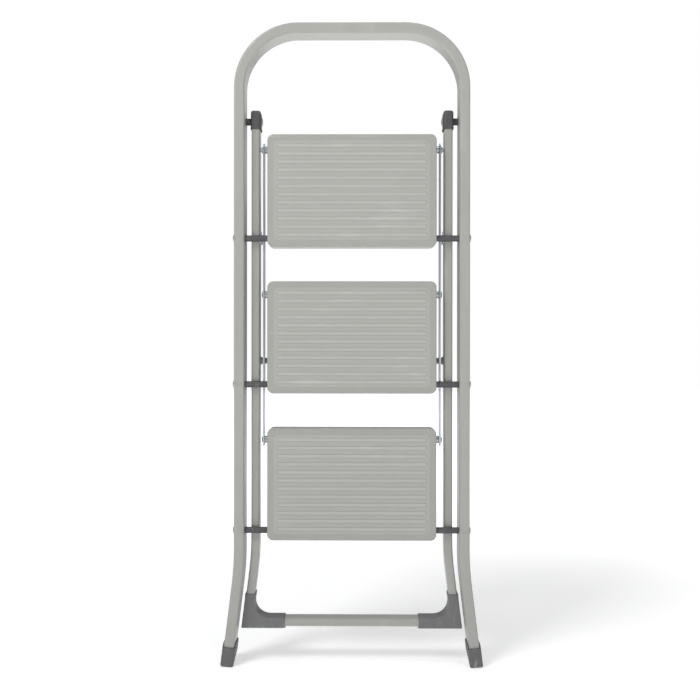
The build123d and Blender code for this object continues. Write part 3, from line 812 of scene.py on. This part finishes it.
def rear_shoes():
    """Corner shoes on the rear frame: square outside, round inside, lips at both mouths, a sloping sole."""
    relief = 0.45 * MM
    tube_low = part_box("rear_frame_tube")[0]
    for name, side in SIDES.items():
        low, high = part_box(f"rear_shoe_{name}")
        middle_y, depth = (low.y + high.y) / 2, high.y - low.y
        wall = (depth - REAR_TUBE_DEPTH) / 2
        section = REAR_TUBE_WIDTH + 2 * wall
        half = section / 2 / math.cos(SPLAY) - relief
        arm_x = min(abs(low.x), abs(high.x))
        arm_z = tube_low.z + REAR_TUBE_WIDTH + wall - relief
        outline = [
            (rear_leg_x(low.z) + half, low.z), (rear_leg_x(high.z) + half, high.z),
            (rear_leg_x(high.z) - half, high.z), (rear_leg_x(arm_z + relief) - half, arm_z),
            (arm_x, arm_z), (arm_x, low.z),
        ]
        bm = bmesh.new()
        points = [bm.verts.new((side * x, 0, z)) for x, z in outline]
        bm.faces.new(points)
        inside_bend = tangent(REAR_BEND_RADIUS - REAR_TUBE_WIDTH / 2 - wall, math.pi / 2 + SPLAY)
        bmesh.ops.bevel(bm, geom=[points[3]], offset=inside_bend, segments=12, **CORNER_BEVEL)
        pushed(bm, bm.faces[:][0], (0, depth - 2 * relief, 0))
        bmesh.ops.translate(bm, vec=(0, low.y + relief, 0), verts=bm.verts)
        sole_front = Vector((0, low.y, tube_low.z - SHOE_SOLE_BELOW_TUBE))
        cut_away(bm, sole_front, Vector((0, -math.sin(REAR_LEAN), -math.cos(REAR_LEAN))))
        softened(bm, 1.2 * MM, 3, 40)
        lip_z = high.z - SHOE_LIP_LENGTH
        upright = Matrix.Translation((side * rear_leg_x(lip_z), middle_y, lip_z))
        upright = upright @ Matrix.Rotation(-side * SPLAY, 4, "Y")
        lying = Matrix.Translation((side * arm_x, middle_y, tube_low.z + REAR_TUBE_WIDTH / 2))
        lying = lying @ Matrix.Rotation(side * math.pi / 2, 4, "Y")
        lip_length = SHOE_LIP_LENGTH / math.cos(SPLAY) - section / 2 * math.tan(SPLAY)
        lips = [
            mouth_band(section, depth, lip_length, upright), mouth_band(section, depth, SHOE_ARM_LIP_LENGTH, lying)
        ]
        place_piece(
            f"rear_corner_shoe_{name}", together(bm, *lips), shoe_plastic, "rear_frame",
            f"rear_shoe_{name}"
        )


def rear_caps():
    """Domed caps on the rear frame's top ends, with a lip at the mouth and a boss round the rivet."""
    relief = 0.4 * MM
    for name, side in SIDES.items():
        low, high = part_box(f"rear_cap_{name}")
        width, depth, height = high.x - low.x, high.y - low.y, high.z - low.z
        bm = bmesh.new()
        pushed(bm, flat_plate(bm, width - 2 * relief, depth - 2 * relief, 4.4 * MM, 6), (0, 0, height))
        bmesh.ops.recalc_face_normals(bm, faces=bm.faces)
        crown = [edge for edge in bm.edges if all(point.co.z > height - SAME_PLACE for point in edge.verts)]
        bmesh.ops.bevel(bm, geom=crown, offset=3.8 * MM, segments=6, **BEVEL)
        bm = together(bm, mouth_band(width, depth, CAP_LIP_LENGTH, Matrix.Identity(4)))
        bmesh.ops.translate(bm, vec=((low.x + high.x) / 2, (low.y + high.y) / 2, low.z), verts=bm.verts)
        boss_outline = chamfered_tube(*near_and_far((low, high)), CAP_BOSS_RADIUS, 0.3 * MM)
        boss = turned(boss_outline, hinge.y, hinge.z, side)
        place_piece(
            f"rear_end_cap_{name}", together(bm, boss), cap_plastic, "rear_frame", f"rear_cap_{name}"
        )


def pin_catches():
    """Notched plates that take the top tread's pins, their edges softened."""
    for name in SIDES:
        node = frame["nodes"][f"step_catch_{name}"]
        bm = bmesh.new()
        bm.from_mesh(node.data)
        bmesh.ops.remove_doubles(bm, verts=bm.verts, dist=SAME_PLACE)
        bmesh.ops.dissolve_limit(bm, angle_limit=math.radians(1), verts=bm.verts, edges=bm.edges)
        softened(bm, 0.35 * MM, 2, 60)
        place_piece(f"pin_catch_{name}", bm, pin_zinc, "rear_frame", f"step_catch_{name}")


front_feet()
rear_shoes()
rear_caps()
pin_catches()

# ---------------------------------------------------------------- studio

# A level studio shot from the front.
CAMERA_AT = Vector((7.0, -1406.6, 528.3)) * MM
CAMERA_YAW = math.radians(0.412)
CAMERA_PITCH = math.radians(-0.124)
CAMERA_ROLL = math.radians(-0.053)
SENSOR = 36.0
FOCAL_IN_WIDTHS = 838.38 / 700

# Where the floor's own glow starts and where it reaches full white, from the middle of the ladder.
GLOW_START, GLOW_FULL = 0.45, 2.2

# Square lamps: place, side and power. They aim at the middle of the ladder.
LAMPS = {
    "key": ((-1.5, -1.6, 2.8), 0.9, 42),
    "fill": ((1.6, -2.6, 0.5), 1.8, 10),
    "top": ((0.2, -0.5, 3.2), 0.9, 10),
    "back": ((0.5, 2.6, 2.0), 1.6, 6),
}
LADDER_MIDDLE = Vector((0, 0, 0.5))


def add_camera():
    camera = bpy.data.cameras.new("studio_camera")
    camera.sensor_width = SENSOR
    camera.lens = SENSOR * FOCAL_IN_WIDTHS
    camera.clip_start, camera.clip_end = 0.05, 60
    holder = bpy.data.objects.new("studio_camera", camera)
    bpy.context.scene.collection.objects.link(holder)
    level = Matrix.Rotation(math.pi / 2, 4, "X")
    aim = Matrix.Rotation(CAMERA_YAW, 4, "Z") @ Matrix.Rotation(CAMERA_PITCH, 4, "X")
    holder.matrix_world = Matrix.Translation(CAMERA_AT) @ aim @ Matrix.Rotation(CAMERA_ROLL, 4, "Y") @ level
    bpy.context.scene.camera = holder


def add_floor():
    """A pale paper floor that glows to white away from the ladder."""
    bm = bmesh.new()
    bmesh.ops.create_grid(bm, x_segments=8, y_segments=8, size=9)
    mesh = bpy.data.meshes.new("floor")
    bm.to_mesh(mesh)
    bm.free()
    paper = Finish("floor_paper", Roughness=0.9)
    paper.set("Base Color", paper.mixed(paper.noise(3.0), (0.94, 0.94, 0.94), (0.96, 0.96, 0.96)))
    away = (paper.x * paper.x + paper.y * paper.y) ** 0.5
    glow = paper.mixed(away.spread(GLOW_START, GLOW_FULL), (0.38, 0.38, 0.38), (1.0, 1.0, 1.0))
    paper.set("Emission Color", glow)
    paper.set("Emission Strength", 1.0)
    mesh.materials.append(paper.material)
    floor = bpy.data.objects.new("floor", mesh)
    floor.location.z = cad_low.z - 0.2 * MM
    bpy.context.scene.collection.objects.link(floor)


def add_lamps():
    for name, (place, size, power) in LAMPS.items():
        light = bpy.data.lights.new(name, "AREA")
        light.size = size
        light.energy = power
        lamp = bpy.data.objects.new(name, light)
        lamp.location = place
        lamp.rotation_euler = (LADDER_MIDDLE - Vector(place)).to_track_quat("-Z", "Y").to_euler()
        bpy.context.scene.collection.objects.link(lamp)


def add_backdrop():
    """White behind the ladder, and a weaker even glow for what lights it."""
    world = bpy.data.worlds.new("studio")
    world.use_nodes = True
    tree = world.node_tree
    shown = tree.nodes["Background"]
    shown.inputs["Color"].default_value = (1, 1, 1, 1)
    glow = tree.nodes.new("ShaderNodeBackground")
    glow.inputs["Color"].default_value = (0.97, 0.98, 1.0, 1)
    glow.inputs["Strength"].default_value = 0.32
    rays = tree.nodes.new("ShaderNodeLightPath")
    both = tree.nodes.new("ShaderNodeMixShader")
    tree.links.new(rays.outputs["Is Camera Ray"], both.inputs[0])
    tree.links.new(glow.outputs[0], both.inputs[1])
    tree.links.new(shown.outputs[0], both.inputs[2])
    tree.links.new(both.outputs[0], tree.nodes["World Output"].inputs["Surface"])
    bpy.context.scene.world = world
    bpy.context.scene.view_settings.view_transform = "Standard"


add_camera()
add_floor()
add_lamps()
add_backdrop()
